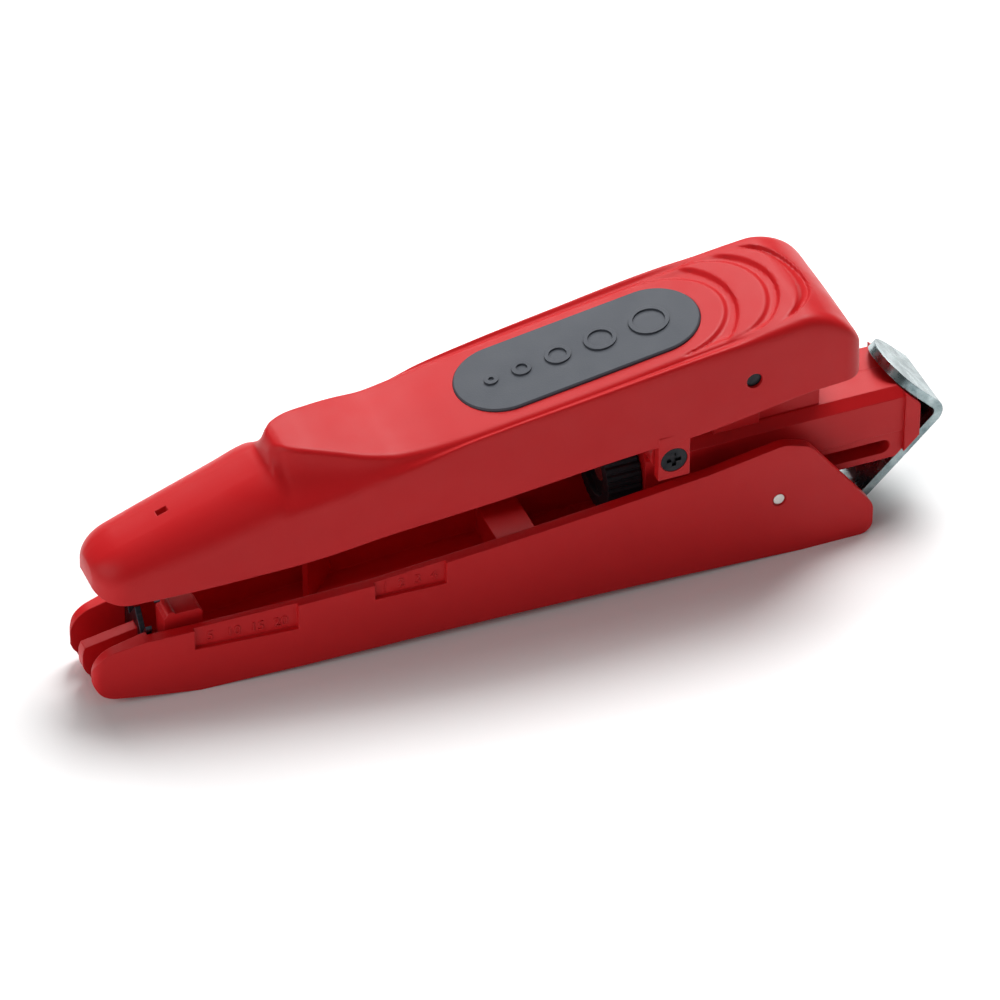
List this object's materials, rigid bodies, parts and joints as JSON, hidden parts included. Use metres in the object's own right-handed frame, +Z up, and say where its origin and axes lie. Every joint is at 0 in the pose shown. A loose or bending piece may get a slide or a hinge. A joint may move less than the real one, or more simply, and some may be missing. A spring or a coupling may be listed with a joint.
{
  "type": "cable stripper",
  "caption": "Hand tool with two sprung handles: notched wire-stripping jaws with a length stop at the nose, and a sliding hook with a depth-set swivelling blade at the rear.",
  "frame": {"origin": "middle of the overall length and width, on the surface that the lower handle stands on", "axes": "+X from the wire jaws to the hook, +Y to the far side of the picture, +Z up"},
  "size_m": [0.1902, 0.034, 0.0617],
  "materials": {
    "red_plastic": "satin",
    "badge_plastic": "matte",
    "black_plastic": "matte",
    "zinc_steel": "polished",
    "dark_steel": "satin",
    "pin_steel": "satin",
    "black_screw": "satin",
    "spring_steel": "satin",
    "brass": "satin"
  },
  "bodies": {
    "base": {"lower_handle": "red_plastic", "hinge_pins": "pin_steel", "lower_wire_blade": "dark_steel", "opening_spring": "spring_steel"},
    "stop": {"length_stop": "red_plastic"},
    "upper": {"upper_handle": "red_plastic", "badge_insert": "badge_plastic", "upper_wire_blade": "dark_steel", "knife_body_left": "red_plastic", "knife_body_right": "red_plastic", "handle_screws": "black_screw", "shell_screws": "black_screw", "handle_pin": "black_screw", "spring_anchor_pin": "pin_steel", "hook_spring": "spring_steel"},
    "hook_carrier": {"hook": "zinc_steel", "hook_slider": "black_plastic", "hook_rivets": "pin_steel", "hook_guide_pin": "pin_steel"},
    "depth_screw": {"depth_wheel": "black_plastic", "depth_spindle": "pin_steel"},
    "carriage": {"blade_carriage": "brass", "swivel_pin": "pin_steel"},
    "swivel": {"blade_holder": "pin_steel", "knife_blade": "dark_steel"}
  },
  "joints": [
    {"name": "grip_pivot", "type": "hinge", "parent": "base", "child": "upper", "pos_m": [0.0546, 0, 0.0151], "axis": [0, -1, 0], "range_deg": [0, 4.2], "stiffness_Nm_per_rad": 4, "springref_deg": -8.59, "deforming": ["opening_spring"]},
    {"name": "hook_slide", "type": "slide", "parent": "upper", "child": "hook_carrier", "axis": [1, 0, 0], "range_m": [0, 0.015], "stiffness_N_per_m": 250, "springref_m": -0.016, "deforming": ["hook_spring"]},
    {"name": "depth_wheel_turn", "type": "hinge", "parent": "upper", "child": "depth_screw", "pos_m": [0.0225, 0, 0.0223], "axis": [1, 0, 0], "range_deg": [0, 1090]},
    {"name": "blade_carriage_slide", "type": "slide", "parent": "upper", "child": "carriage", "axis": [1, 0, 0], "range_m": [0, 0.0024]},
    {"name": "blade_swivel", "type": "hinge", "parent": "carriage", "child": "swivel", "pos_m": [0.078, 0, 0.0223], "axis": [1, 0, 0], "continuous": true},
    {"name": "length_stop_slide", "type": "slide", "parent": "base", "child": "stop", "axis": [1, 0, 0], "range_m": [0, 0.02]}
  ],
  "couplings": [
    {"joint": "depth_wheel_turn", "follows": "blade_carriage_slide", "rad_per_m": 7854}
  ]
}
